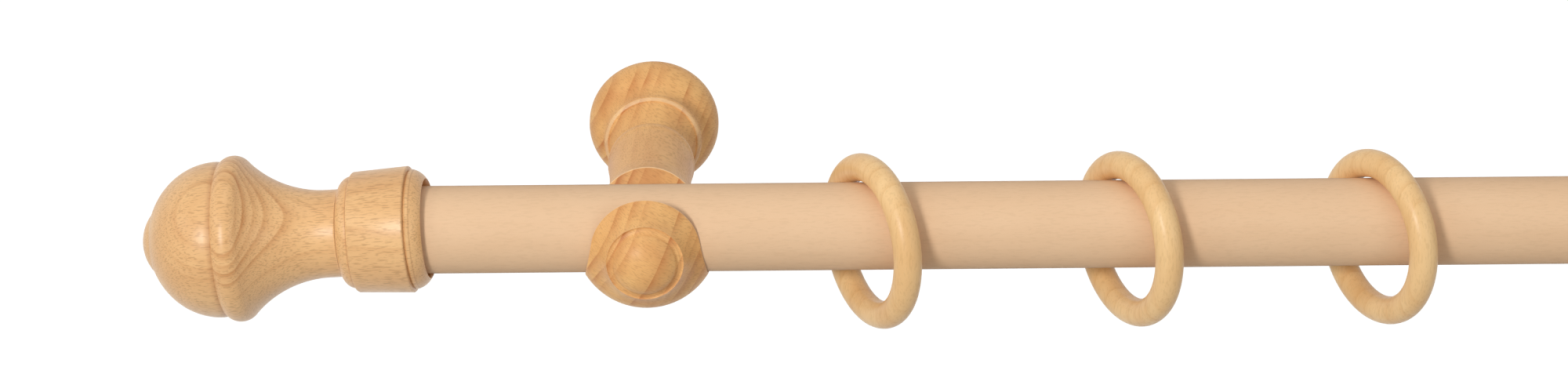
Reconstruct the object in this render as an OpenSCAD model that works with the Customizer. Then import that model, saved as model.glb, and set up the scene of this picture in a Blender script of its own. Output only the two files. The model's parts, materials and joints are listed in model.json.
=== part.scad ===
// Wooden curtain rod set: a beech pole that lies in two open, turned brackets, with a
// push-on turned finial at each end and nine plain wooden rings that slide along it.
// Millimetres. X runs along the pole, the wall is the plane Y = 0 and the room lies
// towards -Y, Z is up. The origin is on the wall, midway between the two wall screws.

/* [Pole] */
// Length of the pole without its finials
pole_len = 1000; // [800:10:2400]
// Diameter of the pole
pole_d = 28; // [25:0.5:30]
// Chamfer around the pole's sawn ends
pole_chamfer = 1; // [0.5:0.1:2]

/* [Bracket] */
// Distance from each end of the pole to the bracket's middle
bracket_inset = 91; // [80:1:160]
// Distance from the wall to the pole's middle
wall_to_pole = 107; // [95:1:140]
// Height of the pole's middle above the bracket's own axis
pole_rise = 2.6; // [1:0.1:4]
// Angle by which the notch's back wall leans back, to let the pole in
notch_lean = 24; // [5:1:30]
// Diameter of the round plate that stands against the wall
plate_d = 44; // [40:0.5:56]
// Thickness of the plate's upright rim
plate_rim = 2.8; // [2:0.1:7]
// Depth of the rounded shoulder between the plate's rim and its hollow face
plate_shoulder = 7.8; // [5:0.1:10]
// Depth of the plate's hollow face
plate_hollow = 7.7; // [5:0.1:10]
// Diameter of the step ring in front of the plate
step_d = 31.8; // [28:0.2:36]
// Width of the step ring
step_w = 3.4; // [2:0.1:5]
// Diameter of the narrow throat between the step ring and the arm
throat_d = 20.2; // [18:0.1:23]
// Distance from the step ring to the throat's narrowest place
throat_len = 14.2; // [8:0.1:16]
// Greatest diameter of the arm, next to the throat
arm_d = 28.2; // [26:0.1:29]
// Diameter of the arm's waist, next to the ball
waist_d = 26.2; // [24:0.1:27]
// Diameter of the ball that carries the pole
ball_d = 46.3; // [43:0.1:52]
// Diameter of the turned button on the front
button_d = 21.2; // [18:0.2:24]
// Height of the button's dome
button_rise = 6.2; // [4:0.1:8]
// Width of the soft groove around the button
button_groove = 1.6; // [0.6:0.1:2]
// Distance from the pole's middle to the groove around the button
button_reach = 24.2; // [22:0.1:28]

/* [Finial] */
// Length of the pole that each finial covers
finial_grip = 21.4; // [14:0.1:22]
// Play between the finial's socket and the pole, measured on the radius
socket_play = 1.35; // [0.5:0.05:1.8]
// Way in which the loose finial leans, turned from straight down towards the wall
finial_lean = 41; // [0:1:90]
// Diameter of the collar at its mouth end
collar_d = 40.5; // [38:0.1:44]
// Diameter of the collar's band at its far end
collar_back_d = 38.6; // [36:0.1:41]
// Length of the collar's band
collar_band = 18.1; // [17:0.1:22]
// Length of the rounded lip at the mouth
lip_len = 5; // [4:0.1:10]
// Length of the rounded shoulder behind the collar
shoulder_len = 4.1; // [3:0.1:8]
// Diameter of the neck
neck_d = 28.1; // [24:0.1:30]
// Length of the straight neck
neck_len = 5.6; // [3:0.1:8]
// Length of the hollow sweep from the neck up to the bead
sweep_len = 24; // [18:0.2:28]
// Diameter of the bead around the knob
bead_d = 53.4; // [52:0.1:60]
// Width of the bead
bead_w = 8.4; // [6:0.1:10]
// Diameter of the knob's dome
dome_d = 50; // [44:0.1:51]
// Length of the dome from the bead to its end
dome_len = 23.1; // [16:0.1:26]
// Diameter of the nub on the dome's tip
nub_d = 19.6; // [14:0.2:24]
// Height of the nub
nub_rise = 3.7; // [2:0.1:6]

/* [Rings] */
// Outer diameter of a ring
ring_d = 57; // [56:0.5:64]
// Thickness of a ring's wood
ring_wood = 9; // [7:0.2:10]
// Distance from the left bracket's middle to the first ring
first_ring = 72; // [66:1:90]
// Distance from the last ring to the right bracket's middle
last_ring = 96; // [66:1:100]

/* [Wall screws] */
// Diameter of the double-ended wall screw
screw_d = 6; // [5:0.5:8]
// Length of the screw that stands out behind the plate, into the wall
screw_out = 40; // [30:1:60]
// Length of the screw inside the bracket
screw_in = 36; // [25:1:45]
// Length of the screw's point at either end
screw_point = 7; // [4:0.5:10]
// Diameter of the plain waist between the screw's two threads
screw_waist_d = 5; // [4:0.1:5]
// Length of the plain waist, just inside the bracket
screw_waist = 4; // [2:0.5:8]

/* [Fits] */
// Gap that a loose piece keeps from the wood that carries it
seat_gap = 0.3; // [0.2:0.05:0.4]
// Gap between the wall screw and its hole, measured on the radius
screw_gap = 0.05; // [0.02:0.01:0.1]

/* [Hidden] */
RINGS = 9;
// Turn of each ring as it happens to hang, as a share of the turn at which it would jam
RING_TURN = [0.703, 0.716, 0.755, 0.676, 0.729, 0.664, 0.742, 0.703, 0.676];
// How far each ring hangs from its even place along the pole
RING_DRIFT = [0, 1.2, -0.4, 1.5, -1, 0.8, -1.6, 1, 0];

$fn = 96;
BEECH = "#DCAE7C";
POLE_WOOD = "#E6C4A2";
RING_WOOD = "#EBC588";
ZINC = "#B9BDC1";

pole_r = pole_d / 2;
bracket_x = pole_len / 2 - bracket_inset;
notch_r = pole_r + seat_gap;
cut = ball_d; // far enough to clear the ball on every side

// Rings: centre line of the wood, and how far apart they hang
ring_line_r = (ring_d - ring_wood) / 2;
ring_reach = pole_r + seat_gap + ring_wood / 2;
ring_jam = acos(ring_reach / ring_line_r);
ring_pitch = (2 * bracket_x - first_ring - last_ring) / (RINGS - 1);

// Finials: the loose socket lets the outer end lean until it touches the pole
socket_r = pole_r + socket_play;
socket_slack = socket_play - seat_gap;
tilt = atan(2 * socket_slack / finial_grip);
socket_depth = finial_grip + seat_gap + socket_r * sin(tilt);

// Points from p to q along an arc that stands out by rise to the left of the way
function bow(p, q, rise, steps = 14) =
    let (
        half = norm(q - p) / 2,
        along = (q - p) / (2 * half),
        side = sign(rise) * [along[1], -along[0]],
        out = abs(rise),
        r = (half * half + out * out) / (2 * out),
        sweep = 2 * atan(out / half)
    )
    [for (i = [0:steps]) let (a = sweep * (2 * i / steps - 1))
        (p + q) / 2 + along * r * sin(a) + side * (r * cos(a) - r + out)];

// Points along an ellipse about [0, mid], from angle a to angle b
function oval(r, len, mid, a, b, steps = 20) =
    [for (i = [0:steps]) let (t = a + (b - a) * i / steps) [r * cos(t), mid + len * sin(t)]];

// Drop of a ring's middle below the pole's middle: it hangs by its inner top, or by two
// places beside the top when it is turned so far that they touch the pole first
function ring_drop(turn) =
    ring_line_r * pow(cos(turn), 2) > ring_reach
        ? ring_line_r - ring_reach
        : tan(turn) * sqrt(pow(ring_line_r * cos(turn), 2) - pow(ring_reach, 2));

module pole() {
    color(POLE_WOOD)
    translate([-pole_len / 2, -wall_to_pole, pole_rise])
    rotate([0, 90, 0])
    rotate_extrude()
    polygon([
        [0, 0], [pole_r - pole_chamfer, 0], [pole_r, pole_chamfer],
        [pole_r, pole_len - pole_chamfer], [pole_r - pole_chamfer, pole_len], [0, pole_len],
    ]);
}

// Half section of the bracket as it is turned: [radius, distance from the wall]
function bracket_outline() =
    let (
        plate_r = plate_d / 2,
        step_r = step_d / 2,
        edge = 1,
        face_r = step_r + 0.27 * (plate_r - step_r),
        hollow_at = plate_rim + plate_shoulder,
        step_at = hollow_at + plate_hollow,
        step_end = step_at + step_w,
        throat_at = step_end + throat_len,
        arm_at = throat_at + arm_d / 3,
        ball_at = wall_to_pole - 0.7 * notch_r,
        waist_at = ball_at - 0.6 * ball_d,
        ball_back = acos((wall_to_pole - ball_at) / (ball_d / 2)),
        round_at = 0.66 * notch_r,
        ball_front = acos(round_at / (ball_d / 2)),
        cheek_r = 0.777 * ball_d / 2,
        cheek_at = wall_to_pole + 0.98 * notch_r,
        groove_at = wall_to_pole + button_reach,
        button_r = button_d / 2,
        dome_from = 14,
        dome_deep = button_rise / (1 - sin(dome_from))
    )
    concat(
        [[0, 0]],
        bow([plate_r - edge, 0], [plate_r, edge], 0.29 * edge, 4),
        bow([plate_r, plate_rim], [face_r, hollow_at], 0.85),
        bow([face_r, hollow_at], [step_r - 0.9, step_at], -0.9),
        bow([step_r - 0.5, step_at], [step_r - 0.9, step_end], 1.2, 10),
        bow([step_r - 1.2, step_end], [throat_d / 2, throat_at], -1.1),
        bow([throat_d / 2, throat_at], [arm_d / 2, arm_at], 1.8),
        bow([arm_d / 2, arm_at], [waist_d / 2, waist_at], -0.2),
        bow([waist_d / 2, waist_at], [ball_d / 2 * sin(ball_back), ball_at], -2.2),
        oval(ball_d / 2, ball_d / 2, wall_to_pole, ball_back - 90, 90 - ball_front, 36),
        bow([ball_d / 2 * sin(ball_front), wall_to_pole + round_at], [cheek_r, cheek_at], 0.25, 8),
        bow([cheek_r, cheek_at], [button_r + button_groove, groove_at], -0.8),
        bow([button_r + button_groove, groove_at], [button_r, groove_at], -0.25 * button_groove, 8),
        oval(button_r / cos(dome_from), dome_deep, groove_at + button_rise - dome_deep,
            dome_from, 90, 16)
    );

// Open-topped notch for the pole: round below, upright in front and leaning back behind
module pole_notch(side) {
    back = notch_r * [cos(notch_lean), -sin(notch_lean)];
    translate([side * bracket_x, -wall_to_pole, pole_rise]) {
        rotate([0, 90, 0]) cylinder(h = 2 * cut, r = notch_r, center = true);
        rotate([90, 0, 90])
        linear_extrude(height = 2 * cut, center = true)
        polygon([
            [-notch_r, 0], [0, 0], back, back + cut * [tan(notch_lean), 1], [-notch_r, cut],
        ]);
    }
}

module bracket(side) {
    color(BEECH)
    difference() {
        translate([side * bracket_x, 0, 0])
        rotate([90, 0, 0])
        rotate_extrude() polygon(bracket_outline());
        pole_notch(side);
        translate([side * bracket_x, 0, 0])
        rotate([90, 0, 0])
        translate([0, 0, -1]) cylinder(h = screw_in + 2, r = screw_d / 2 + screw_gap);
    }
}

// Screw with a point at either end, half of it in the bracket and half in the wall
module wall_screw(side) {
    color(ZINC)
    translate([side * bracket_x, 0, 0])
    rotate([90, 0, 0])
    rotate_extrude()
    polygon([
        [0, -screw_out], [screw_d / 2, screw_point - screw_out], [screw_d / 2, 0],
        [screw_waist_d / 2, 0], [screw_waist_d / 2, screw_waist], [screw_d / 2, screw_waist],
        [screw_d / 2, screw_in - screw_point], [0, screw_in],
    ]);
}

// Half section of the finial as it is turned: [radius, distance from the mouth]
function finial_outline() =
    let (
        mouth_r = socket_r + 0.6,
        lip_r = collar_d / 2 - 1.05,
        back_r = collar_back_d / 2,
        band_at = lip_len + 0.6,
        back_at = band_at + collar_band,
        neck_at = back_at + shoulder_len,
        sweep_at = neck_at + neck_len,
        bead_at = sweep_at + sweep_len,
        bead_low = bead_d / 2 - 2.2,
        dome_at = bead_at + bead_w,
        nub_a = acos(nub_d / dome_d),
        nub_at = dome_at + 1.6 + dome_len * sin(nub_a)
    )
    concat(
        [[0, socket_depth], [socket_r, socket_depth], [socket_r, 1.2]],
        bow([mouth_r, 0], [lip_r, lip_len - 0.6], 0.6),
        [[lip_r - 0.3, lip_len], [collar_d / 2 - 0.2, band_at - 0.3], [collar_d / 2, band_at]],
        [[back_r, back_at - 0.8], [back_r - 0.35, back_at - 0.25], [back_r - 1.1, back_at]],
        bow([back_r - 1.25, back_at + 0.1], [neck_d / 2 + 0.5, neck_at], 0.85),
        bow([neck_d / 2 + 0.5, neck_at], [neck_d / 2, neck_at + 0.7], -0.15, 4),
        bow([neck_d / 2, sweep_at], [bead_low, bead_at], -2.5, 24),
        bow([bead_low, bead_at], [dome_d / 2 - 0.2, dome_at], 2, 18),
        oval(dome_d / 2, dome_len, dome_at + 1.6, 0, nub_a, 24),
        bow([nub_d / 2, nub_at], [0, nub_at + nub_rise], 1, 12)
    );

// side is -1 at the left end and 1 at the right end
module finial(side) {
    way = [0, sin(finial_lean), -cos(finial_lean)];
    color(BEECH)
    translate([side * (pole_len / 2 - finial_grip), -wall_to_pole, pole_rise])
    translate(-socket_slack * way)
    rotate(tilt, cross([side, 0, 0], way))
    rotate([0, side * 90, 0])
    rotate_extrude() polygon(finial_outline());
}

module ring(index) {
    turn = RING_TURN[index] * ring_jam;
    color(RING_WOOD)
    translate([first_ring - bracket_x + index * ring_pitch + RING_DRIFT[index], -wall_to_pole,
        pole_rise - ring_drop(turn)])
    rotate([0, 0, turn])
    rotate([0, 90, 0])
    rotate_extrude()
    translate([ring_line_r, 0]) circle(d = ring_wood, $fn = 48);
}

pole();
bracket(-1);  // left_bracket
bracket(1);  // right_bracket
wall_screw(-1);  // left_wall_screw
wall_screw(1);  // right_wall_screw
finial(-1);  // left_finial
finial(1);  // right_finial
for (i = [1:RINGS])
    ring(i - 1);
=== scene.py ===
"""Curtain rod with brackets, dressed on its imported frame.

Every wooden piece is turned again as a finer mesh on the frame's own sizes, gets the finish of
its wood, and is set on a pale floor in soft light. Run it as a script.
"""

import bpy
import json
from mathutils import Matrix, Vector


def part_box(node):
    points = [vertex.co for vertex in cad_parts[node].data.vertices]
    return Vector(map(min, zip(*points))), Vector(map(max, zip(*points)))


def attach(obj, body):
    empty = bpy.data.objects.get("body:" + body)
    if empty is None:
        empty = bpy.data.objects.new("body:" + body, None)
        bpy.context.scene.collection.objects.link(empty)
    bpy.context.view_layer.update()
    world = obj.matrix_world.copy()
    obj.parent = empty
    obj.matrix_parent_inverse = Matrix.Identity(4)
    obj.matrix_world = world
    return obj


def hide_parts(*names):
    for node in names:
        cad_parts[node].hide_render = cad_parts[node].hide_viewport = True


bl_info = {
    "name": "Curtain rod with brackets",
    "version": (1, 0, 0),
    "blender": (4, 5, 0),
    "location": "3D View > Sidebar > Curtain rod",
    "description": "Turned wooden pole, brackets, finials and rings on the packed frame",
    "category": "Object",
}

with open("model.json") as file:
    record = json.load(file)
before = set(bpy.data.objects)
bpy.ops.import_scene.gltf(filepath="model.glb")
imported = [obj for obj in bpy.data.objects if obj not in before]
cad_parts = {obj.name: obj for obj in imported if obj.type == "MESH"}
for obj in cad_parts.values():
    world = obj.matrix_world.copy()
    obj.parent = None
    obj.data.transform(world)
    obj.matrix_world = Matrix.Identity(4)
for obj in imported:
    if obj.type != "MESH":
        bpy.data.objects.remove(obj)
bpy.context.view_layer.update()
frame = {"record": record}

import json
import math

import bpy
from bpy.props import FloatProperty, FloatVectorProperty, PointerProperty
from bpy.types import Operator, Panel, PropertyGroup
from mathutils import Matrix, Vector

MM = 0.001
RECORD = frame["record"]
BODY_OF = {node: body for body, nodes in RECORD["behaviour"]["bodies"].items() for node in nodes}

POLE_LOW, POLE_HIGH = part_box("pole")
POLE_MIDDLE = (POLE_LOW + POLE_HIGH) / 2
POLE_LENGTH = POLE_HIGH.x - POLE_LOW.x
POLE_D = POLE_HIGH.z - POLE_LOW.z
SCREWS = next(m for m in RECORD["mounts"] if m["name"] == "wall_screws")
BRACKET_X = SCREWS["dims"]["pcd_mm"] / 2 * MM
SCREW_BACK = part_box("left_wall_screw")[1].y
RING_NODES = sorted(n for n in BODY_OF if n.startswith("ring_"))

INTO_ROOM, TO_RIGHT = Vector((0, -1, 0)), Vector((1, 0, 0))
LEFT_PLATE = Vector((-BRACKET_X, 0, 0))
LEFT_NOTCH = Vector((-BRACKET_X, POLE_MIDDLE.y, POLE_MIDDLE.z))

WELD = 0.002 * MM  # points nearer than this are merged
SCREW_GAP = 0.05 * MM  # between a wall screw and its hole, on the radius
SCREW_CORE = 0.7  # the screw's core, as a share of the diameter over its thread

# Wood turns pale where it is sanded through, with a painted highlight on those edges, and brown
# where a groove gathers the finish, with painted shade in the groove
SANDED_EDGE_AND_HIGHLIGHT, GROOVE_STAIN_AND_SHADE = "#F8DDB4", "#9A5F35"
# Growth layers of the turned woods: depth in mm, and how dark the layer's end is
FINIAL_LAYERS = ((10.3, 0.45), (13.8, 0.25), (15.8, 0.8), (18.5, 0.85), (20.4, 0.65),
                 (22.7, 1), (24.6, 0.5))
BRACKET_LAYERS = ((4, 0.7), (8, 0.8), (10.7, 0.7), (13.3, 0.6), (19.2, 0.9), (30.2, 0.6),
                  (33.5, 0.9), (37, 1), (42.6, 1), (45.6, 1))

# Lamps: name, place from the middle of the view and size in metres, and watts
VIEW_MIDDLE = Vector((-0.32, POLE_MIDDLE.y, 0))
LAMPS = (
    ("softbox_main", (-1.02, -1.93, 0.92), 0.55, 28),
    ("softbox_left", (-1.75, -0.7, 0.95), 0.6, 2.5),
    ("softbox_right", (1.5, -1.5, 0.8), 0.9, 4),
    ("softbox_top", (-0.1, -0.2, 1.7), 1.2, 2.5),
)
# Camera: lens and sensor in mm, place from the left notch in mm, and turns in degrees
LENS, SENSOR = 104.4, 36
CAMERA_PLACE = (42.6, -1354.2, 527.4)
YAW, PITCH, ROLL = -0.06, 20.892, -0.471


# ---------------------------------------------------------------- small helpers


def linear(hex_colour):
    """Turns an sRGB hex colour into the linear values that Blender's sockets hold."""
    parts = [int(hex_colour[i:i + 2], 16) / 255 for i in (1, 3, 5)]
    return tuple(c / 12.92 if c <= 0.04045 else ((c + 0.055) / 1.055) ** 2.4 for c in parts)


def bow(start, end, rise, steps=16):
    """Points along an arc between two points of a half section, standing out by rise."""
    (r0, a0), (r1, a1) = start, end
    half = math.hypot(r1 - r0, a1 - a0) / 2
    ur, ua = (r1 - r0) / (2 * half), (a1 - a0) / (2 * half)
    side = 1 if rise > 0 else -1
    out = abs(rise)
    radius = (half * half + out * out) / (2 * out)
    sweep = 2 * math.atan(out / half)
    points = []
    for i in range(steps + 1):
        t = sweep * (2 * i / steps - 1)
        along, up = radius * math.sin(t), radius * math.cos(t) - radius + out
        points.append(((r0 + r1) / 2 + ur * along + side * ua * up,
                       (a0 + a1) / 2 + ua * along - side * ur * up))
    return points


def oval(radius, length, middle, first, last, steps=24):
    """Points along an ellipse about the turning axis, between two angles in degrees."""
    angles = [math.radians(first + (last - first) * i / steps) for i in range(steps + 1)]
    return [(radius * math.cos(t), middle + length * math.sin(t)) for t in angles]


def just_added(name):
    """The object that an operator has just added, with its data, under its name."""
    piece = bpy.context.object
    piece.name = piece.data.name = name
    return piece


def free_hands():
    """Leaves edit mode and deselects everything."""
    if bpy.context.object and bpy.context.object.mode != "OBJECT":
        bpy.ops.object.mode_set(mode="OBJECT")
    bpy.ops.object.select_all(action="DESELECT")


def pick(piece):
    """Makes one object the only selected and the active one."""
    free_hands()
    piece.select_set(True)
    bpy.context.view_layer.objects.active = piece


def edit(piece, mode="VERT"):
    """Opens a piece in edit mode with nothing selected."""
    pick(piece)
    bpy.ops.object.mode_set(mode="EDIT")
    bpy.ops.mesh.select_mode(type=mode)
    bpy.ops.mesh.select_all(action="DESELECT")


def select_where(piece, part, test):
    """Selects the vertices, edges or faces that pass a test, and opens edit mode on them."""
    edit(piece, {"vertices": "VERT", "edges": "EDGE", "polygons": "FACE"}[part])
    bpy.ops.object.mode_set(mode="OBJECT")
    for item in getattr(piece.data, part):
        item.select = test(item)
    bpy.ops.object.mode_set(mode="EDIT")


def fix_place(piece):
    """Puts the object's place, turn and scale into its mesh."""
    pick(piece)
    bpy.ops.object.transform_apply(location=True, rotation=True, scale=True)


def settle(piece):
    """Fixes a piece's place, merges its doubles and points its faces outwards."""
    fix_place(piece)
    edit(piece)
    bpy.ops.mesh.select_all(action="SELECT")
    bpy.ops.mesh.remove_doubles(threshold=WELD)
    bpy.ops.mesh.normals_make_consistent(inside=False)
    bpy.ops.object.mode_set(mode="OBJECT")


def turn_on_lathe(name, outline, base, along, across, steps):
    """Draws a half section by extruding a vertex from point to point, and spins it round."""
    free_hands()
    bpy.ops.mesh.primitive_plane_add(size=1 * MM, location=(0, 0, 0))
    piece = just_added(name)
    edit(piece)
    bpy.ops.mesh.select_all(action="SELECT")
    bpy.ops.mesh.merge(type="CENTER")
    places = [base + along * a + across * r for r, a in outline]
    bpy.ops.transform.translate(value=places[0])
    for before, after in zip(places, places[1:]):
        step = after - before
        if step.length > 0.0001 * MM:
            bpy.ops.mesh.extrude_region_move(TRANSFORM_OT_translate={"value": step})
    bpy.ops.mesh.select_all(action="SELECT")
    bpy.ops.mesh.spin(steps=steps, angle=2 * math.pi, center=base, axis=along)
    settle(piece)
    return piece


def mark_wear_and_painted_light(piece, base, along, marks):
    """Writes where a turned piece is sanded pale, with a painted highlight (up to 1), or stained
    brown, with painted shade (down to -1). Each mark is a stretch along the turning axis, the
    least radius there, and the amount."""
    wear_and_painted_light = piece.data.attributes.new("wear_and_painted_light", "FLOAT", "POINT")
    for vertex, spot in zip(piece.data.vertices, wear_and_painted_light.data):
        place = vertex.co - base
        far = place.dot(along)
        radius = (place - along * far).length
        for first, last, least, amount in marks:
            if first <= far <= last and radius >= least:
                spot.value = amount


def use_modifier(piece, kind, **settings):
    """Adds a modifier with its settings and applies it."""
    pick(piece)
    modifier = piece.modifiers.new(kind.title(), kind)
    for key, value in settings.items():
        setattr(modifier, key, value)
    bpy.ops.object.modifier_apply(modifier=modifier.name)


def soften(piece, degrees=32):
    """Shades a piece smooth, and keeps the edges that are sharper than the angle."""
    pick(piece)
    bpy.ops.object.shade_smooth_by_angle(angle=math.radians(degrees))


def copy_of(piece, name):
    """A copy of a piece with its own mesh."""
    pick(piece)
    bpy.ops.object.duplicate(linked=False)
    return just_added(name)


def hand_over(piece, node, finish):
    """Puts a finished piece in the place of its frame node."""
    piece.data.materials.clear()
    piece.data.materials.append(finish)
    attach(piece, BODY_OF[node])
    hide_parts(node)


def bare_tree(owner):
    """The node tree of a material or a world, emptied."""
    owner.use_nodes = True
    owner.node_tree.nodes.clear()
    return owner.node_tree


def add(tree, kind, links=None, **settings):
    """Adds a node, sets it up, and links or fills the inputs named in links."""
    node = tree.nodes.new(kind)
    for key, value in settings.items():
        setattr(node, key, value)
    for key, value in (links or {}).items():
        socket = node.inputs[key]
        if isinstance(value, bpy.types.NodeSocket):
            tree.links.new(value, socket)
        else:
            socket.default_value = value
    return node


def ramp_of(node, stops):
    """Gives a colour ramp its stops, each a place and a grey value."""
    elements = node.color_ramp.elements
    elements[-1].color = elements[0].color
    for place, grey in stops:
        elements.new(place).color = (grey, grey, grey, 1)


# ---------------------------------------------------------------- finishes


def wood(name, *, pith, fibre, bark, light, late, layers, span, rise, strength, sway, fleck_mm,
         fleck, patch, roughness, coat, side_strength=1.0, bold=()):
    """Beech-like wood, cut from a blank. pith is a point in the blank, fibre the way its fibres
    run and bark the way out of the trunk. The growth layers lie at the depths in layers, in mm
    towards the bark, and come again after span. Each darkens from light towards late over rise
    and ends at a sharp line, and they sway by sway, in mm. strength is how much they show where
    they are cut across, and side_strength the share of it on long faces. bold tells how much
    shows on the way along the fibres: mm, and amount up to 1. fleck_mm is a fleck's size along
    the fibres, across them and outwards. fleck and patch are the flecks' and patches' amounts."""
    fibre, bark = Vector(fibre).normalized(), Vector(bark)
    side = bark.cross(fibre).normalized()
    lie = Matrix((fibre, side, fibre.cross(side))).transposed().to_euler()
    material = bpy.data.materials.new(name)
    tree = bare_tree(material)
    where = add(tree, "ShaderNodeTexCoord")
    # The attribute read here holds sanded edges and stained grooves, with a painted highlight on
    # the edges and painted shade in the grooves
    painted_light_and_wear = add(tree, "ShaderNodeAttribute", attribute_name="wear_and_painted_light").outputs["Fac"]
    # Millimetres in the blank's own frame: X along the fibres, Z out towards the bark
    blank = add(tree, "ShaderNodeMapping", {
        "Vector": where.outputs["Object"], "Location": pith, "Rotation": lie,
        "Scale": (MM, MM, MM)}, vector_type="TEXTURE").outputs[0]
    along, _, out = add(tree, "ShaderNodeSeparateXYZ", {"Vector": blank}).outputs

    # Four soft noises, drawn out along the fibres: waves to a mm each way, place and detail
    noises = []
    for waves, place, detail in (
            ((0.03, 0.07, 0.07), (0, 0, 0), 2),
            ((0.02, 0.13, 0.13), (5, 2, 9), 2),
            ((0.03, 0.09, 0.09), (31, 7, 3), 3),
            (tuple(1 / size for size in fleck_mm), (0, 0, 0), 1.5)):
        drawn = add(tree, "ShaderNodeMapping", {
            "Vector": blank, "Scale": waves, "Location": place})
        noises.append(add(tree, "ShaderNodeTexNoise", {
            "Vector": drawn.outputs[0], "Scale": 1.0, "Detail": detail,
            "Roughness": 0.5}).outputs["Fac"])
    drift, fade, cloud, speck = noises

    # The growth layers sway a little on their way through the blank
    swayed = add(tree, "ShaderNodeMath", {0: drift, 1: 2 * sway, 2: out},
                 operation="MULTIPLY_ADD")
    depth = add(tree, "ShaderNodeMath", {0: swayed.outputs[0], 1: -sway}, operation="ADD")
    turns = add(tree, "ShaderNodeMath", {0: depth.outputs[0], 1: 1 / span},
                operation="MULTIPLY")
    turn = add(tree, "ShaderNodeMath", {0: turns.outputs[0]}, operation="FRACT")
    layer = add(tree, "ShaderNodeValToRGB", {"Fac": turn.outputs[0]})
    line, next_from = 0.2, 0.25  # mm past a layer's darkest place, to its end and to the next
    stops, before = [], 0
    for place, dark in layers:
        stops += [(max(place - rise, before) / span, 0), (place / span, dark),
                  ((place + line) / span, 0)]
        before = place + next_from
    ramp_of(layer, stops)
    # A power keeps the slow rise pale, so that the dark ends stand out
    steep = add(tree, "ShaderNodeMath", {0: layer.outputs["Color"], 1: 1.6}, operation="POWER")

    # How far a face is cut across the fibres: the end grain shows the layers best
    facing = add(tree, "ShaderNodeVectorMath", {0: where.outputs["Normal"], 1: fibre},
                 operation="DOT_PRODUCT")
    cut = add(tree, "ShaderNodeMath", {0: facing.outputs["Value"]}, operation="ABSOLUTE")
    # What each thing adds: its value, the range that counts, and the amounts at both ends
    by_cut, by_place, patches, flecks, pale, brown, dull = (
        add(tree, "ShaderNodeMapRange", {
            "Value": value, "From Min": low, "From Max": high, "To Min": bottom,
            "To Max": top}).outputs[0]
        for value, low, high, bottom, top in (
            (cut.outputs[0], 0.25, 0.85, side_strength * strength, strength),
            (fade, 0.3, 0.7, 0.6, 1.2),
            (cloud, 0.35, 0.7, 0, patch),
            (speck, 0.53, 0.63, 0, fleck),
            (painted_light_and_wear, 0, 1, 0, 0.6),
            (painted_light_and_wear, 0, -1, 0, 0.75),
            (speck, 0.3, 0.7, roughness - 0.05, roughness + 0.07)))

    factors = [by_place, steep.outputs[0]]
    if bold:
        reach = 100  # mm along the fibres that the ramp covers
        far = add(tree, "ShaderNodeMath", {0: along, 1: 1 / reach}, operation="MULTIPLY")
        course = add(tree, "ShaderNodeValToRGB", {"Fac": far.outputs[0]})
        ramp_of(course, [(place / reach, amount) for place, amount in bold])
        factors.insert(1, course.outputs["Color"])
    shown = by_cut
    for factor in factors:
        shown = add(tree, "ShaderNodeMath", {0: shown, 1: factor},
                    operation="MULTIPLY").outputs[0]

    # Late wood, broad warm patches, and short dark flecks of the rays, drawn coarser than the real
    # 0.1 mm so that they show. Sanded edges are paler, with a painted highlight on them, and
    # turned grooves gather brown, with painted shade in them
    tint = (*light, 1)
    for amount, over in (
            (shown, late), (patches, late), (flecks, [0.6 * c for c in late]),
            (pale, linear(SANDED_EDGE_AND_HIGHLIGHT)), (brown, linear(GROOVE_STAIN_AND_SHADE))):
        tint = add(tree, "ShaderNodeMix", {"Factor": amount, 6: tint, 7: (*over, 1)},
                   data_type="RGBA").outputs[2]
    relief = add(tree, "ShaderNodeBump", {
        "Height": speck, "Strength": 0.2, "Distance": 0.03 * MM}, invert=True)
    surface = add(tree, "ShaderNodeBsdfPrincipled", {
        "Base Color": tint, "Normal": relief.outputs[0], "Roughness": dull,
        "Coat Weight": coat, "Coat Roughness": 0.34, "Specular IOR Level": 0.22})
    add(tree, "ShaderNodeOutputMaterial", {"Surface": surface.outputs[0]})
    return material


def zinc():
    """Bright zinc plate on a rolled steel screw: cool grey, half glossy, faintly mottled."""
    material = bpy.data.materials.new("Bright zinc plate on steel")
    tree = bare_tree(material)
    where = add(tree, "ShaderNodeTexCoord")
    # 900 waves in a metre: the mottling is about a millimetre across
    spangle = add(tree, "ShaderNodeMapping", {
        "Vector": where.outputs["Object"], "Scale": (900, 900, 900)})
    cloud = add(tree, "ShaderNodeTexNoise", {
        "Vector": spangle.outputs[0], "Scale": 1.0, "Detail": 3})
    tint = add(tree, "ShaderNodeMix", {
        "Factor": cloud.outputs["Fac"], 6: (*linear("#AEB2B6"), 1),
        7: (*linear("#CFD2D5"), 1)}, data_type="RGBA")
    gloss = add(tree, "ShaderNodeMapRange", {
        "Value": cloud.outputs["Fac"], "To Min": 0.24, "To Max": 0.42})
    surface = add(tree, "ShaderNodeBsdfPrincipled", {
        "Base Color": tint.outputs[2], "Metallic": 1.0, "Roughness": gloss.outputs[0]})
    add(tree, "ShaderNodeOutputMaterial", {"Surface": surface.outputs[0]})
    return material


def seen_as_it_is(tree):
    """1 for rays that show a background as it is: to the camera, in gloss and through glass."""
    ray = add(tree, "ShaderNodeLightPath")
    seen = ray.outputs["Is Camera Ray"]
    for kind in ("Is Glossy Ray", "Is Transmission Ray"):
        seen = add(tree, "ShaderNodeMath", {0: seen, 1: ray.outputs[kind]},
                   operation="MAXIMUM").outputs[0]
    return seen


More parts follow.
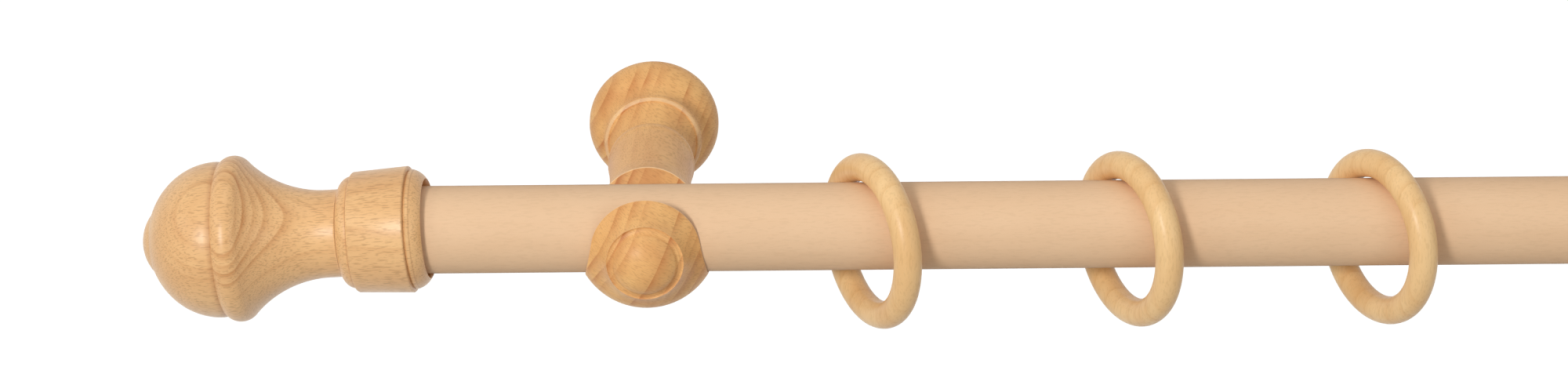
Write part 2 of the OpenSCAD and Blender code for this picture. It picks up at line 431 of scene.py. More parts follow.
def white_paint():
    """Matt white paint: evenly white to look at, and it throws soft light on the pieces."""
    material = bpy.data.materials.new("Matt white paint")
    tree = bare_tree(material)
    glow = add(tree, "ShaderNodeMath", {0: seen_as_it_is(tree), 1: 0.8}, operation="MULTIPLY")
    matt = add(tree, "ShaderNodeBsdfDiffuse", {"Color": (*linear("#BFBFBD"), 1)})
    lit = add(tree, "ShaderNodeEmission", {"Color": (1, 1, 1, 1), "Strength": glow.outputs[0]})
    both = add(tree, "ShaderNodeAddShader", {0: matt.outputs[0], 1: lit.outputs[0]})
    add(tree, "ShaderNodeOutputMaterial", {"Surface": both.outputs[0]})
    return material


def white_room():
    """A world that is white to look at, and lights the pieces at under half of that."""
    world = bpy.data.worlds.new("Soft white room")
    tree = bare_tree(world)
    level = add(tree, "ShaderNodeMapRange", {
        "Value": seen_as_it_is(tree), "To Min": 0.44, "To Max": 1.0})
    room = add(tree, "ShaderNodeBackground", {
        "Color": (1, 1, 1, 1), "Strength": level.outputs[0]})
    add(tree, "ShaderNodeOutputWorld", {"Surface": room.outputs[0]})
    return world


# ---------------------------------------------------------------- sizes and colours


def length(name, description, default, low, high, precision=4):
    """A size that a user may change: its default and range are in mm here."""
    return FloatProperty(
        name=name, description=description, default=default * MM, min=low * MM, max=high * MM,
        unit="LENGTH", precision=precision)


def colour(name, description, hex_colour):
    """A colour that a user may change."""
    return FloatVectorProperty(
        name=name, description=description, default=linear(hex_colour), min=0, max=1, size=3,
        subtype="COLOR")


class BracketSizes(PropertyGroup):
    """Sizes of the turned brackets and their notch"""
    plate_d: length("Plate", "Diameter of the round wall plate", 44, 30, 70)
    plate_rim: length("Plate rim", "Thickness of the plate's upright rim", 2.8, 2, 10)
    plate_shoulder: length(
        "Plate shoulder", "Depth of the rounded shoulder before the hollow", 7.8, 3, 12)
    plate_hollow: length("Plate hollow", "Depth of the plate's hollow face", 7.7, 3, 12)
    step_d: length("Step ring", "Diameter of the step ring in front of the plate", 31.8, 24, 40)
    step_w: length("Step width", "Width of the step ring", 3.4, 1, 6)
    throat_d: length("Throat", "Diameter of the narrow throat", 20.2, 15, 26)
    throat_len: length("Throat distance", "Distance from the step ring to the throat", 14.2, 6, 16)
    arm_d: length("Arm", "Greatest diameter of the arm", 28.2, 24, 34)
    waist_d: length("Waist", "Diameter of the waist before the ball", 26.2, 20, 30)
    ball_d: length("Ball", "Diameter of the ball that carries the pole", 46.3, 40, 56)
    button_d: length("Button", "Diameter of the turned button on the front", 21.2, 16, 26)
    button_rise: length("Button dome", "Height of the button's dome", 6.2, 2, 9)
    button_groove: length(
        "Button groove", "Width of the soft groove round the button", 1.6, 0.5, 3)
    button_reach: length(
        "Button reach", "Distance from the pole's middle to the groove", 24.2, 20, 30)
    notch_lean: FloatProperty(
        name="Notch lean", description="Angle by which the notch's back wall leans back",
        default=math.radians(24), min=math.radians(5), max=math.radians(40), unit="ROTATION")
    rim_round: length(
        "Notch edge", "Rounding sanded along the notch's edges", 0.45, 0.1, 1, precision=5)


class FinialSizes(PropertyGroup):
    """Sizes of the turned finials"""
    grip: length("Grip", "Length of pole inside the socket", 21.4, 15, 40)
    play: length(
        "Socket play", "Play between the socket and the pole, on the radius", 1.35, 0.3, 2,
        precision=5)
    lean: FloatProperty(
        name="Lean", description="Way the loose finial leans, from straight down to the wall",
        default=math.radians(41), min=0, max=math.radians(90), unit="ROTATION")
    collar_d: length("Collar", "Diameter of the collar at its mouth end", 40.5, 36, 46)
    collar_back_d: length(
        "Collar back", "Diameter of the collar's band at its far end", 38.6, 34, 44)
    collar_band: length("Collar band", "Length of the collar's band", 18.1, 10, 26)
    lip_len: length("Lip", "Length of the rounded lip at the mouth", 5, 3, 10)
    shoulder_len: length("Shoulder", "Length of the rounded shoulder behind the collar", 4.1, 2, 8)
    neck_d: length("Neck", "Diameter of the neck", 28.1, 20, 32)
    neck_len: length("Neck length", "Length of the straight neck", 5.6, 2, 10)
    sweep_len: length("Sweep", "Length of the hollow sweep up to the bead", 24, 15, 32)
    bead_d: length("Bead", "Diameter of the bead round the knob", 53.4, 46, 62)
    bead_w: length("Bead width", "Width of the bead", 8.4, 4, 12)
    dome_d: length("Dome", "Diameter of the knob's dome", 50, 40, 56)
    dome_len: length("Dome length", "Length of the dome", 23.1, 14, 28)
    nub_d: length("Nub", "Diameter of the nub on the dome's tip", 19.6, 10, 28)
    nub_rise: length("Nub height", "Height of the nub", 3.7, 1, 8)


class SmallSizes(PropertyGroup):
    """Sizes of the pole's ends, the rings, the wall screws and the gaps"""
    pole_chamfer: length("Pole chamfer", "Chamfer round the pole's sawn ends", 1, 0.2, 3)
    seat_gap: length(
        "Seat gap", "Gap that a loose piece keeps from the wood under it", 0.3, 0.1, 0.6,
        precision=5)
    ring_wood: length("Ring wood", "Thickness of a ring's wood", 9, 6, 12)
    ring_d: length("Ring", "Outer diameter of a ring", 57, 50, 70)
    screw_d: length("Wall screw", "Diameter of the wall screw over its thread", 6, 4, 8)
    screw_in: length("Screw in bracket", "Length of the screw inside the bracket", 36, 20, 50)
    screw_point: length("Screw point", "Length of the screw's point at either end", 7, 3, 12)
    screw_waist_d: length(
        "Screw waist", "Diameter of the plain waist between the threads", 5, 3, 8)
    screw_waist: length(
        "Screw waist length", "Length of the plain waist inside the bracket", 4, 1, 10)
    thread_pitch: length(
        "Thread pitch", "Distance between two turns of the wood thread", 2.6, 1, 4)


class Finishes(PropertyGroup):
    """Colours of the woods: the wood itself, and its late growth"""
    pole_wood: colour("Pole wood", "Colour of the pale sanded pole", "#ECC7A0")
    pole_late: colour("Pole wood, late", "Colour of the faint streaks in the pole", "#D9AC80")
    bracket_wood: colour("Bracket wood", "Colour of the lacquered brackets", "#F1BC79")
    bracket_late: colour(
        "Bracket wood, late", "Colour of the orange bands in the brackets", "#C8824A")
    turned_wood: colour("Finial wood", "Colour of the lacquered finials", "#ECBD84")
    turned_late: colour(
        "Turned wood, late", "Colour of the dark layers in the turned wood", "#C98D55")
    ring_wood: colour("Ring wood", "Colour of the yellower rings", "#F2CB93")
    ring_late: colour("Ring wood, late", "Colour of the orange streaks in the rings", "#D9A05F")


# ---------------------------------------------------------------- pieces


class CURTAINROD_OT_pole(Operator):
    """Make the round pole with its chamfered, sawn ends"""
    bl_idname = "curtain_rod.pole"
    bl_label = "Pole"
    bl_options = {"REGISTER", "UNDO"}

    def execute(self, context):
        small, colours = context.scene.rod_small, context.scene.rod_finishes
        free_hands()
        bpy.ops.mesh.primitive_cylinder_add(
            vertices=160, radius=POLE_D / 2, depth=POLE_LENGTH, location=POLE_MIDDLE,
            rotation=(0, math.pi / 2, 0))
        pole = just_added("pole_wood")
        settle(pole)
        end = POLE_LENGTH / 2 - 0.1 * MM
        select_where(pole, "edges", lambda e: all(
            abs(pole.data.vertices[v].co.x) > end for v in e.vertices))
        bpy.ops.mesh.bevel(offset=small.pole_chamfer, segments=1, affect="EDGES")
        select_where(pole, "polygons", lambda f: abs(f.normal.x) > 0.99)
        for width in (2.5, 5):
            bpy.ops.mesh.inset(thickness=width * MM)
        settle(pole)
        soften(pole)
        # Sanded and left dull: pale and pinkish, with hardly any figure
        finish = wood(
            "Sanded beech pole", pith=POLE_MIDDLE, fibre=(1, 0.006, 0.008), bark=(0, -0.3, 1),
            light=colours.pole_wood, late=colours.pole_late, span=21, rise=2.5,
            layers=((3, 0.7), (6.6, 1), (9.1, 0.6), (12.7, 1), (15.4, 0.5), (19.2, 0.9)),
            strength=0.07, sway=1.2, fleck_mm=(3, 0.6, 0.6), fleck=0.07, patch=0.14,
            roughness=0.58, coat=0.0)
        hand_over(pole, "pole", finish)
        return {"FINISHED"}


def bracket_outline(s, small):
    """Half section of the bracket as it is turned: radius, and distance from the wall."""
    wall_to_pole = -POLE_MIDDLE.y
    notch_r = POLE_D / 2 + small.seat_gap
    hole_r, hole_end = small.screw_d / 2 + SCREW_GAP, small.screw_in + 1 * MM
    hole_edge, plate_edge = 0.4 * MM, 1 * MM
    plate_r, step_r = s.plate_d / 2, s.step_d / 2
    step_foot, step_face, throat_top = (step_r - inwards * MM for inwards in (0.9, 0.5, 1.2))
    face_r = step_r + 0.27 * (plate_r - step_r)
    hollow_at = s.plate_rim + s.plate_shoulder
    step_at = hollow_at + s.plate_hollow
    step_end = step_at + s.step_w
    throat_at = step_end + s.throat_len
    arm_at = throat_at + s.arm_d / 3
    # The ball's round part runs from its back, beside the waist, to the cheek on its front
    ball_r = s.ball_d / 2
    ball_at = wall_to_pole - 0.7 * notch_r
    waist_at = ball_at - 0.6 * s.ball_d
    round_at = 0.66 * notch_r
    back = math.degrees(math.acos((wall_to_pole - ball_at) / ball_r))
    front = math.degrees(math.acos(round_at / ball_r))
    back_r, front_r = (ball_r * math.sin(math.radians(a)) for a in (back, front))
    cheek = (0.777 * ball_r, wall_to_pole + 0.98 * notch_r)
    # The button's dome rises out of its groove, with the small fillet that a gouge leaves
    button_r = s.button_d / 2
    groove_at, groove_r = wall_to_pole + s.button_reach, button_r + s.button_groove
    dome_from = 14
    fillet_to = dome_from + 11
    foot_r, fillet = button_r + 0.5 * MM, math.radians(fillet_to)
    dome_r = button_r / math.cos(math.radians(dome_from))
    dome_deep = s.button_rise / (1 - math.sin(math.radians(dome_from)))
    dome_at = groove_at + s.button_rise - dome_deep
    return (
        [(0, hole_end), (hole_r, hole_end), (hole_r, hole_edge), (hole_r + hole_edge, 0)]
        + bow((plate_r - plate_edge, 0), (plate_r, plate_edge), 0.29 * plate_edge, 6)
        + bow((plate_r, s.plate_rim), (face_r, hollow_at), 0.85 * MM, 18)
        + bow((face_r, hollow_at), (step_foot, step_at), -0.9 * MM, 14)
        + bow((step_face, step_at), (step_foot, step_end), 1.2 * MM, 14)
        + bow((throat_top, step_end), (s.throat_d / 2, throat_at), -1.1 * MM, 18)
        + bow((s.throat_d / 2, throat_at), (s.arm_d / 2, arm_at), 1.8 * MM, 18)
        + bow((s.arm_d / 2, arm_at), (s.waist_d / 2, waist_at), -0.2 * MM, 16)
        + bow((s.waist_d / 2, waist_at), (back_r, ball_at), -2.2 * MM, 24)
        + oval(ball_r, ball_r, wall_to_pole, back - 90, 90 - front, 36)
        + bow((front_r, wall_to_pole + round_at), cheek, 0.25 * MM, 10)
        + bow(cheek, (groove_r, groove_at), -0.8 * MM, 16)
        + bow((groove_r, groove_at), (foot_r, groove_at), -0.25 * MM, 6)
        + bow((foot_r, groove_at), (dome_r * math.cos(fillet),
              dome_at + dome_deep * math.sin(fillet)), -0.3 * MM, 8)
        + oval(dome_r, dome_deep, dome_at, fillet_to, 90, 24)
    )


def cut_notch(bracket, s, notch_r):
    """Cuts the notch with a round bar whose upper part is drawn out along the notch's walls."""
    count, top = 120, s.ball_d
    free_hands()
    bpy.ops.mesh.primitive_cylinder_add(
        vertices=count, radius=notch_r, depth=2 * s.ball_d, rotation=(0, math.pi / 2, 0),
        location=LEFT_NOTCH)
    cutter = bpy.context.object
    settle(cutter)
    # The walls leave the round bottom at these two places: upright in front, leaning behind
    before = Vector((0, -notch_r, 0))
    behind = Vector((0, math.cos(s.notch_lean), -math.sin(s.notch_lean))) * notch_r
    half = math.pi / count
    for first, last, place in (
            (-s.notch_lean - half, -s.notch_lean + half, behind),
            (-s.notch_lean + half, math.pi / 2,
             behind + Vector((0, math.tan(s.notch_lean), 1)) * top),
            (math.pi / 2, math.pi - half, before + Vector((0, 0, top)))):
        turned = {v.index for v in cutter.data.vertices if first < math.atan2(
            v.co.z - LEFT_NOTCH.z, v.co.y - LEFT_NOTCH.y) <= last}
        select_where(cutter, "vertices", lambda v: v.index in turned)
        bpy.ops.transform.resize(value=(1, 0, 0), center_override=LEFT_NOTCH + place)
        bpy.ops.object.mode_set(mode="OBJECT")
    settle(cutter)
    use_modifier(bracket, "BOOLEAN", operation="DIFFERENCE", object=cutter, solver="EXACT")
    bpy.data.objects.remove(cutter)
    settle(bracket)


def sand_notch_with_painted_light(bracket, s, notch_r):
    """Rounds the edge where the notch meets the turned surface, marks that edge pale, partly as a
    painted highlight, and the notch's wall darker, partly as painted shade.
    """
    lean = s.notch_lean
    off_wall = Vector((0, math.cos(lean), -math.sin(lean)))

    def past_notch(place):
        """How far a place lies past the notch's wall, and the way that leads further."""
        y, z = (place - LEFT_NOTCH).yz
        along, behind = y * math.sin(lean) + z * math.cos(lean), y - z * math.tan(lean)
        if along > 0 and behind > 0:
            return behind * math.cos(lean) - notch_r, off_wall
        if z > 0:
            return -y - notch_r, INTO_ROOM
        return math.hypot(y, z) - notch_r, Vector((0, y, z)).normalized()

    def in_notch(face):
        """Whether a face is part of the notch's wall: it lies on it and looks into the notch."""
        past, way = past_notch(face.center)
        return abs(past) < 0.05 * MM and face.normal.dot(way) < -0.98

    def notch_rim():
        """The edges, as pairs of vertices, where the notch meets the turned surface."""
        sides = {}
        for face in bracket.data.polygons:
            inside = in_notch(face)
            for key in face.edge_keys:
                sides.setdefault(key, set()).add(inside)
        return {key for key, found in sides.items() if len(found) == 2}

    # Points that crowd the rim are merged with it or slid away, so its bevel has room
    on_rim = {v for key in notch_rim() for v in key}
    select_where(bracket, "vertices", lambda v: v.index in on_rim)
    bpy.ops.mesh.remove_doubles(threshold=0.25 * MM)
    bpy.ops.object.mode_set(mode="OBJECT")
    rim = notch_rim()
    held = {v for key in rim for v in key}
    # A point on the rim would move by room, and one as far off as reach stays where it is
    room, reach = 1.6 * s.rim_round, 5 * s.rim_round
    for vertex in bracket.data.vertices:
        past, way = past_notch(vertex.co)
        away = way - vertex.normal * way.dot(vertex.normal)
        if vertex.index not in held and past < reach * away.length:
            vertex.co += away.normalized() * (room - past / away.length * room / reach)
    select_where(bracket, "edges", lambda e: e.key in rim)
    bpy.ops.mesh.bevel(offset=s.rim_round, segments=3, affect="EDGES", clamp_overlap=False)
    bpy.ops.object.mode_set(mode="OBJECT")
    # The sawn notch drinks the finish and goes darker, with painted shade from the pole added; its
    # sanded edge stays pale, with a painted highlight along it
    wear_and_painted_light = bracket.data.attributes["wear_and_painted_light"].data
    around = {v for f in bracket.data.polygons if not f.select for v in f.vertices}
    for face in bracket.data.polygons:
        for index in face.vertices:
            if index not in around:
                wear_and_painted_light[index].value = 0.9
            elif in_notch(face):
                wear_and_painted_light[index].value = -0.3
    settle(bracket)


class CURTAINROD_OT_brackets(Operator):
    """Turn the wall bracket, cut its open notch for the pole, and copy it to the other side"""
    bl_idname = "curtain_rod.brackets"
    bl_label = "Brackets"
    bl_options = {"REGISTER", "UNDO"}

    def execute(self, context):
        scene = context.scene
        s, small, colours = scene.rod_bracket, scene.rod_small, scene.rod_finishes
        notch_r = POLE_D / 2 + small.seat_gap
        bracket = turn_on_lathe("left_bracket_wood", bracket_outline(s, small), LEFT_PLATE,
                                INTO_ROOM, TO_RIGHT, 128)
        # The step ring's edge is sanded pale, with a painted highlight on it. The button's groove
        # is brown, as painted shade with some gathered finish, and pale outside, as a painted
        # highlight
        step_at = s.plate_rim + s.plate_shoulder + s.plate_hollow
        groove_at, button_r = s.button_reach - POLE_MIDDLE.y, s.button_d / 2
        marks = [(step_at + 0.75 * s.step_w, step_at + s.step_w, s.step_d / 2 - 1 * MM, 0.6)]
        for past, amount in ((0.4, -0.15), (1.3, 0.12), (1.8, 0.0)):
            marks.append((groove_at - 0.3 * MM, groove_at + 0.3 * MM, button_r + past * MM,
                          amount))
        mark_wear_and_painted_light(bracket, LEFT_PLATE, INTO_ROOM, marks)
        cut_notch(bracket, s, notch_r)
        sand_notch_with_painted_light(bracket, s, notch_r)
        soften(bracket, 30)
        twin = copy_of(bracket, "right_bracket_wood")
        twin.location.x = 2 * BRACKET_X
        settle(twin)
        for side, hand, piece in ((-1, "left", bracket), (1, "right", twin)):
            # Satin lacquer on end grain: orange bands of late wood cross the plate and head
            finish = wood(
                "Turned beech bracket, " + hand,
                pith=(side * BRACKET_X + 20.5 * MM, 0, -10.3 * MM), fibre=(0, 1, 0),
                bark=(-0.89, 0, 0.45), light=colours.bracket_wood, late=colours.bracket_late,
                span=54, layers=BRACKET_LAYERS, rise=3.4, strength=1.3, side_strength=0.15,
                sway=0.6, fleck_mm=(1.1, 0.3, 2), fleck=0.25, patch=0.5, roughness=0.45,
                coat=0.07)
            hand_over(piece, hand + "_bracket", finish)
        return {"FINISHED"}


def wind_thread(s, base, along, run):
    """A triangular ridge wound on from base for a run: the thread of a wall screw."""
    pitch, crest = s.thread_pitch, s.screw_d / 2
    root = SCREW_CORE * crest - 0.25 * MM  # sunk into the core, so that no gap is left
    free_hands()
    bpy.ops.mesh.primitive_circle_add(vertices=3, radius=0.5 * MM, location=(0, 0, 0))
    ridge = just_added("thread")
    for i, (r, a) in enumerate(((root, -0.42 * pitch), (crest, 0), (root, 0.3 * pitch))):
        select_where(ridge, "vertices", lambda v: v.index == i)
        bpy.ops.transform.translate(value=Vector((r, 0, a)) - ridge.data.vertices[i].co)
    bpy.ops.object.mode_set(mode="OBJECT")
    use_modifier(ridge, "SCREW", axis="Z", angle=2 * math.pi, screw_offset=pitch,
                 iterations=int(run / pitch), steps=28, render_steps=28,
                 use_merge_vertices=True)
    edit(ridge)
    bpy.ops.mesh.select_non_manifold()
    bpy.ops.mesh.fill_holes(sides=4)
    bpy.ops.object.mode_set(mode="OBJECT")
    ridge.rotation_euler = along.to_track_quat("Z", "Y").to_euler()
    ridge.location = base
    settle(ridge)
    return ridge


class CURTAINROD_OT_wall_screws(Operator):
    """Make the double-ended wall screws with a wound wood thread on both halves"""
    bl_idname = "curtain_rod.wall_screws"
    bl_label = "Wall screws"
    bl_options = {"REGISTER", "UNDO"}

    def execute(self, context):
        s = context.scene.rod_small
        core, waist_r = SCREW_CORE * s.screw_d / 2, s.screw_waist_d / 2
        back, front, neck = -SCREW_BACK, s.screw_in, 0.8 * MM
        screw = turn_on_lathe("left_wall_screw_steel", (
            (0, back), (core, back + s.screw_point), (core, -neck), (waist_r, 0),
            (waist_r, s.screw_waist), (core, s.screw_waist + neck),
            (core, front - s.screw_point), (0, front)), LEFT_PLATE, INTO_ROOM, TO_RIGHT, 48)
        threads, spare, slices = [], 0.6 * s.thread_pitch, 14
        for sign, reach, clear in ((1, SCREW_BACK, 0), (-1, s.screw_in, s.screw_waist)):
            way = Vector((0, sign, 0))
            thread = wind_thread(s, LEFT_PLATE + way * (clear + spare), way,
                                 reach - clear - 2 * spare)
            # Towards the screw's point the thread thins with the core
            for i in range(slices):
                near, far = i * s.screw_point / slices, (i + 1) * s.screw_point / slices
                select_where(thread, "vertices",
                             lambda v: near <= reach - sign * v.co.y < far)
                grow = max((near + far) / 2 / s.screw_point, 0.05)
                bpy.ops.transform.resize(value=(grow, 1, grow), center_override=LEFT_PLATE)
            bpy.ops.object.mode_set(mode="OBJECT")
            threads.append(thread)
        pick(screw)
        for thread in threads:
            thread.select_set(True)
        bpy.ops.object.join()
        soften(screw, 35)
        twin = copy_of(screw, "right_wall_screw_steel")
        twin.location.x = 2 * BRACKET_X
        fix_place(twin)
        finish = zinc()
        hand_over(screw, "left_wall_screw", finish)
        hand_over(twin, "right_wall_screw", finish)
        return {"FINISHED"}


def finial_tilt(s, small):
    """Angle by which a finial leans until its loose socket touches the pole."""
    return math.atan(2 * (s.play - small.seat_gap) / s.grip)


def finial_places(s):
    """Where the finial's parts begin, from the mouth: collar's band and its back, neck, sweep,
    bead and dome."""
    places = [s.lip_len + 0.6 * MM]
    for step in (s.collar_band, s.shoulder_len, s.neck_len, s.sweep_len, s.bead_w):
        places.append(places[-1] + step)
    return places


def finial_outline(s, small):
    """Half section of the finial as it is turned: radius, and distance from the mouth."""
    band_at, back_at, neck_at, sweep_at, bead_at, dome_at = finial_places(s)
    socket_r = POLE_D / 2 + s.play
    depth = s.grip + small.seat_gap + socket_r * math.sin(finial_tilt(s, small))
    mouth_r, lip_r = socket_r + 0.6 * MM, s.collar_d / 2 - 1.05 * MM
    collar_r, back_r = s.collar_d / 2, s.collar_back_d / 2
    neck_r, shoulder_r = s.neck_d / 2, s.neck_d / 2 + 0.5 * MM
    bead_r, dome_r, nub_r = s.bead_d / 2 - 2.2 * MM, s.dome_d / 2, s.nub_d / 2
    dome_from = dome_at + 1.6 * MM
    nub_turn = math.degrees(math.acos(nub_r / dome_r))
    nub_at = dome_from + s.dome_len * math.sin(math.radians(nub_turn))
    return (
        [(0, depth), (socket_r, depth), (socket_r, 1.2 * MM)]
        + bow((mouth_r, 0), (lip_r, s.lip_len - 0.6 * MM), 0.6 * MM, 16)
        + [(lip_r - 0.3 * MM, s.lip_len), (collar_r - 0.2 * MM, band_at - 0.3 * MM),
           (collar_r, band_at), (back_r, back_at - 0.8 * MM),
           (back_r - 0.35 * MM, back_at - 0.25 * MM), (back_r - 1.1 * MM, back_at)]
        + bow((back_r - 1.25 * MM, back_at + 0.1 * MM), (shoulder_r, neck_at), 0.85 * MM, 14)
        + bow((shoulder_r, neck_at), (neck_r, neck_at + 0.7 * MM), -0.15 * MM, 4)
        + bow((neck_r, sweep_at), (bead_r, bead_at), -2.5 * MM, 30)
        + bow((bead_r, bead_at), (dome_r - 0.2 * MM, dome_at), 2 * MM, 22)
        + oval(dome_r, s.dome_len, dome_from, 0, nub_turn, 30)
        + bow((nub_r, nub_at), (0, nub_at + s.nub_rise), 1 * MM, 16)
    )


class CURTAINROD_OT_finials(Operator):
    """Turn the finial with its collar, sweep, bead and dome, and copy it to the other end"""
    bl_idname = "curtain_rod.finials"
    bl_label = "Finials"
    bl_options = {"REGISTER", "UNDO"}

    def execute(self, context):
        scene = context.scene
        s, small, colours = scene.rod_finial, scene.rod_small, scene.rod_finishes
        # The loose finial has dropped onto the pole, and its outer end leans the same way
        tilt = finial_tilt(s, small)
        way = Vector((0, math.sin(s.lean), -math.cos(s.lean)))
        mouth = Vector((-(POLE_LENGTH / 2 - s.grip), POLE_MIDDLE.y, POLE_MIDDLE.z))
        mouth -= way * (s.play - small.seat_gap)
        outward = Vector((-math.cos(tilt), 0, 0)) + way * math.sin(tilt)
        finial = turn_on_lathe("left_finial_wood", finial_outline(s, small), mouth, outward,
                               outward.cross(way).normalized(), 128)
        # The finish gathers brown in the turned lines, with painted shade in these creases: each
        # from and to in mm past its place, with the least radius and the amount
        _, back_at, neck_at, _, _, dome_at = finial_places(s)
        outside = POLE_D / 2 + 3 * MM
        mark_wear_and_painted_light(finial, mouth, outward, [
            (at + first * MM, at + last * MM, least, amount)
            for at, first, last, least, amount in (
                (s.lip_len, -1.7, -1.4, outside, -0.5), (s.lip_len, -0.1, 0.1, outside, -0.4),
                (back_at, -0.05, 0.15, outside, -0.4), (neck_at, -0.35, 0.2, 0, -0.9),
                (dome_at, -0.2, 0.2, outside, -0.5))])
        soften(finial, 30)
        twin = copy_of(finial, "right_finial_wood")
        twin.scale.x = -1
        settle(twin)
        soften(twin, 30)
        for side, hand, piece in ((-1, "left", finial), (1, "right", twin)):
            # Satin lacquer on long grain: growth lines bend into arches where the sweep swells
            finish = wood(
                "Turned beech finial, " + hand,
                pith=Vector((-side * mouth.x, mouth.y, mouth.z)),
                fibre=(outward.x * -side, outward.y, outward.z), bark=(side * 0.1, -0.74, 0.67),
                light=colours.turned_wood, late=colours.turned_late, span=54,
                layers=FINIAL_LAYERS, rise=1.9, strength=1.15, sway=0.3,
                # Where bold is low the figure is quieter; on the dome this is a painted sheen,
                # standing in for the highlight that washes the lines out
                bold=((5, 0.4), (28, 0.4), (34, 1), (60, 1), (68, 0.4)),
                fleck_mm=(3.2, 0.42, 0.42), fleck=0.38, patch=0.3, roughness=0.4, coat=0.4)
            hand_over(piece, hand + "_finial", finish)
        return {"FINISHED"}


class CURTAINROD_OT_rings(Operator):
    """Turn one wooden ring and hang a copy of it at each ring's place on the pole"""
    bl_idname = "curtain_rod.rings"
    bl_label = "Rings"
    bl_options = {"REGISTER", "UNDO"}

    def execute(self, context):
        scene = context.scene
        s, colours = scene.rod_small, scene.rod_finishes
        # A hair under the sizes, so the finer mesh stays inside the frame's faceted ring
        line_r = (s.ring_d - s.ring_wood) / 2 - 0.006 * MM
        free_hands()
        bpy.ops.mesh.primitive_circle_add(
            vertices=48, radius=s.ring_wood / 2, location=(0, 0, line_r),
            rotation=(math.pi / 2, 0, 0))
        ring = just_added("ring_blank")
        fix_place(ring)
        # The bore is cut a little flatter than the turned outside
        bore = line_r - 0.485 * s.ring_wood
        select_where(ring, "vertices", lambda v: v.co.z < bore)
        bpy.ops.transform.resize(value=(1, 1, 0.15), center_override=(0, 0, bore))
        bpy.ops.mesh.select_all(action="SELECT")
        bpy.ops.mesh.spin(steps=112, angle=2 * math.pi, center=(0, 0, 0), axis=(1, 0, 0))
        settle(ring)
        soften(ring, 40)
        # Clear lacquer on a yellower wood, with a soft shine and orange patches
        finish = wood(
            "Lacquered ring wood", pith=POLE_MIDDLE, fibre=(0, 0.1, 1), bark=(0.3, -1, 0),
            light=colours.ring_wood, late=colours.ring_late, span=24, rise=2.2,
            layers=((4, 0.8), (8.2, 1), (11, 0.5), (15.3, 1), (20.1, 0.8)), strength=0.35,
            sway=1.6, fleck_mm=(3, 0.6, 0.6), fleck=0.14, patch=0.45, roughness=0.4,
            coat=0.25)
        for node in RING_NODES:
            low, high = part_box(node)
            twin = copy_of(ring, node + "_wood")
            twin.location = (low + high) / 2
            # The box gives the turn: the wood is as thick as ring_wood at every turn
            twin.rotation_euler.z = math.asin((high.x - low.x - s.ring_wood) / (2 * line_r))
            fix_place(twin)
            hand_over(twin, node, finish)
        bpy.data.objects.remove(ring)
        return {"FINISHED"}


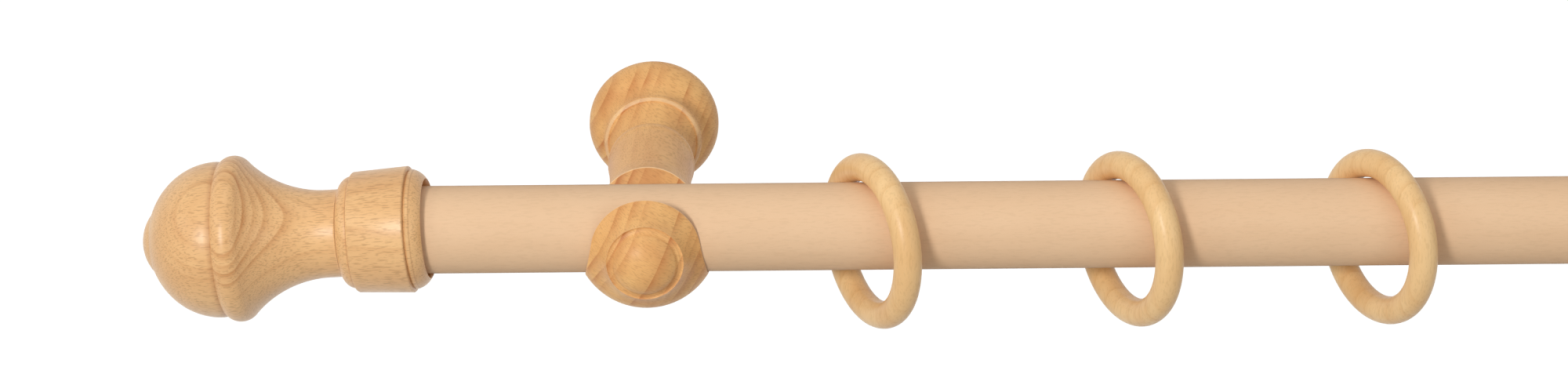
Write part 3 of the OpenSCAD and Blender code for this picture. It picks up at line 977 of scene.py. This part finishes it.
class CURTAINROD_OT_stage(Operator):
    """Lay the pale floor, hang the soft lamps and place the camera"""
    bl_idname = "curtain_rod.stage"
    bl_label = "Stage"
    bl_options = {"REGISTER", "UNDO"}

    def execute(self, context):
        scene = context.scene
        free_hands()
        # The floor is far below, as in a room, and reaches past every view
        bpy.ops.mesh.primitive_plane_add(size=14, location=(0, 1, -0.75))
        floor = just_added("floor")
        fix_place(floor)
        floor.data.materials.append(white_paint())
        scene.world = white_room()
        for name, place, size, watts in LAMPS:
            bpy.ops.object.light_add(type="AREA", location=VIEW_MIDDLE + Vector(place))
            lamp = just_added(name)
            lamp.data.shape = "DISK"
            lamp.data.size = size
            lamp.data.energy = watts
            lamp.rotation_euler = (-Vector(place)).to_track_quat("-Z", "Y").to_euler()

        # The camera looks a little down on the left bracket, finial and first three rings
        free_hands()
        bpy.ops.object.camera_add()
        camera = context.object
        camera.data.sensor_fit = "HORIZONTAL"
        camera.data.sensor_width = SENSOR
        camera.data.lens = LENS
        camera.data.clip_start, camera.data.clip_end = 0.01, 50
        yaw, pitch, roll = (math.radians(a) for a in (YAW, PITCH, ROLL))
        ahead = Vector((-math.sin(yaw) * math.cos(pitch), math.cos(yaw) * math.cos(pitch),
                        -math.sin(pitch)))
        right = Vector((math.cos(yaw), math.sin(yaw), 0))
        up = right.cross(ahead)
        right, up = (math.cos(roll) * right + math.sin(roll) * up,
                     math.cos(roll) * up - math.sin(roll) * right)
        place = [at + off * MM for at, off in zip(LEFT_NOTCH, CAMERA_PLACE)]
        camera.matrix_world = (
            Matrix.Translation(place) @ Matrix((right, up, -ahead)).transposed().to_4x4())
        scene.camera = camera
        scene.view_settings.view_transform = "Standard"
        return {"FINISHED"}


# ---------------------------------------------------------------- panel and running


STEPS = (
    CURTAINROD_OT_pole, CURTAINROD_OT_brackets, CURTAINROD_OT_wall_screws,
    CURTAINROD_OT_finials, CURTAINROD_OT_rings, CURTAINROD_OT_stage,
)
# Each group of settings, by its name on the scene
GROUPS = {
    "rod_bracket": BracketSizes, "rod_finial": FinialSizes, "rod_small": SmallSizes,
    "rod_finishes": Finishes,
}


class CURTAINROD_PT_panel(Panel):
    """Lists the steps as buttons, and below them the sizes and colours"""
    bl_label = "Curtain rod with brackets"
    bl_idname = "CURTAINROD_PT_panel"
    bl_space_type = "VIEW_3D"
    bl_region_type = "UI"
    bl_category = "Curtain rod"

    def draw(self, context):
        for step in STEPS:
            self.layout.operator(step.bl_idname)
        for group in GROUPS:
            box = self.layout.box()
            settings = getattr(context.scene, group)
            for key in settings.bl_rna.properties.keys():
                if key not in {"rna_type", "name"}:
                    box.prop(settings, key)


CLASSES = (*GROUPS.values(), *STEPS, CURTAINROD_PT_panel)


def register():
    for cls in CLASSES:
        bpy.utils.register_class(cls)
    for name, group in GROUPS.items():
        setattr(bpy.types.Scene, name, PointerProperty(type=group))


def unregister():
    for name in GROUPS:
        delattr(bpy.types.Scene, name)
    for cls in reversed(CLASSES):
        bpy.utils.unregister_class(cls)


def main():
    """Makes every piece and the stage."""
    register()
    bpy.ops.curtain_rod.pole()
    bpy.ops.curtain_rod.brackets()
    bpy.ops.curtain_rod.wall_screws()
    bpy.ops.curtain_rod.finials()
    bpy.ops.curtain_rod.rings()
    bpy.ops.curtain_rod.stage()


if __name__ == "__main__":
    main()
